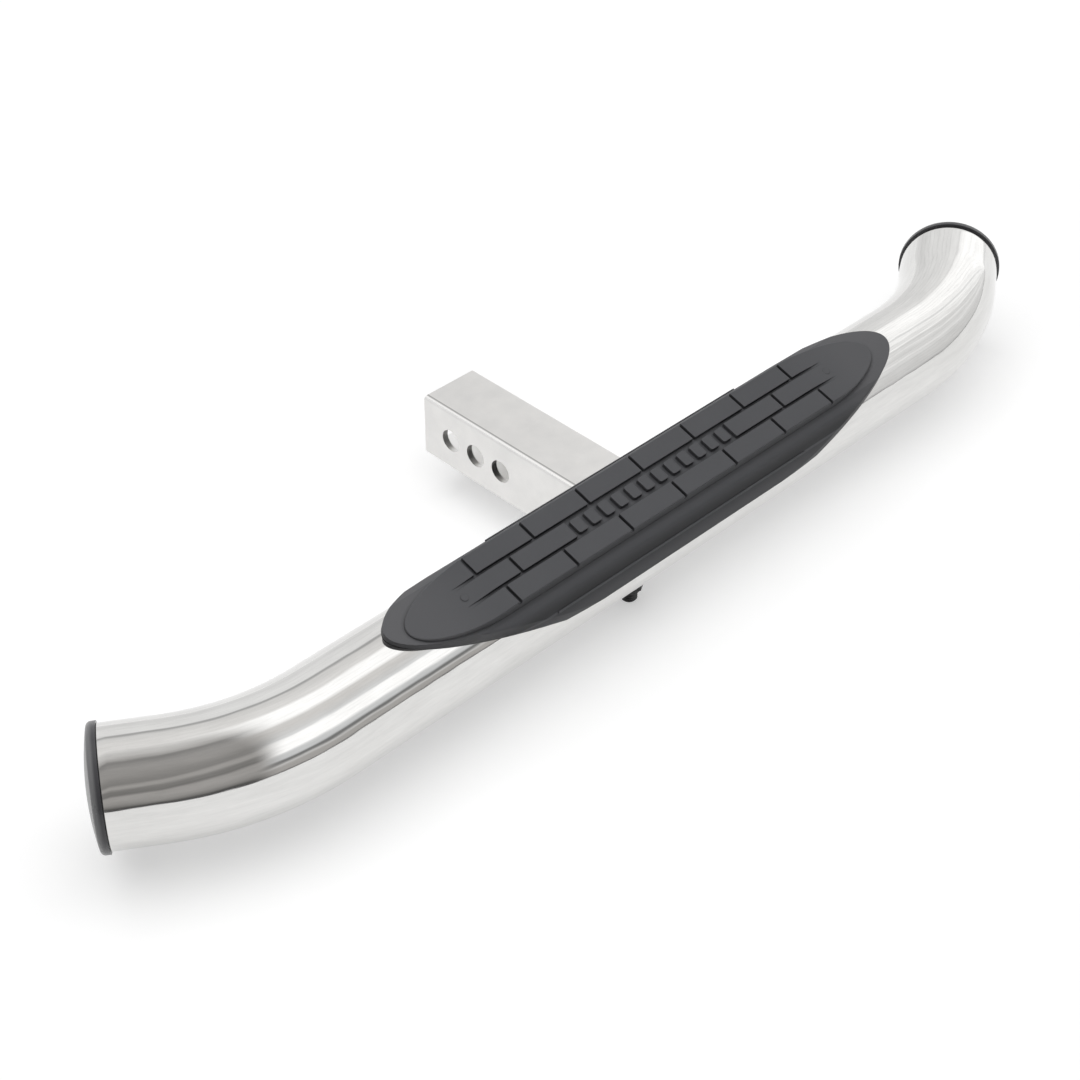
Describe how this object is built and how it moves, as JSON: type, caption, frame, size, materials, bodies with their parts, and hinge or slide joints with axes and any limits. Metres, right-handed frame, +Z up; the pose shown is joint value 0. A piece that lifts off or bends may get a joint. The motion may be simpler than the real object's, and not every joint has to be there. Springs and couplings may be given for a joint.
{
  "type": "hitch receiver step",
  "caption": "Bent round tube step with a moulded tread pad, carried on a square shank whose pin holes lock it into a trailer receiver.",
  "frame": {"origin": "centre of the middle pin hole, on the square bar's axis", "axes": "+X along the step tube to the right as seen by someone facing the vehicle, +Y along the bar towards the vehicle, +Z up"},
  "size_m": [0.8694, 0.2322, 0.1162],
  "materials": {
    "polished_tube": "mirror-polished stainless steel",
    "satin_bar": "satin stainless steel",
    "pad_rubber": "matt moulded charcoal",
    "cap_plastic": "satin moulded charcoal",
    "black_steel": "black coating"
  },
  "bodies": {
    "root": {"step_tube": "polished_tube", "receiver_bar": "satin_bar", "step_pad": "pad_rubber", "left_end_cap": "cap_plastic", "right_end_cap": "cap_plastic", "bar_saddle": "satin_bar", "clamp_bolt": "black_steel", "saddle_washer": "black_steel", "lock_washer": "black_steel", "lock_nut": "black_steel"}
  },
  "joints": []
}
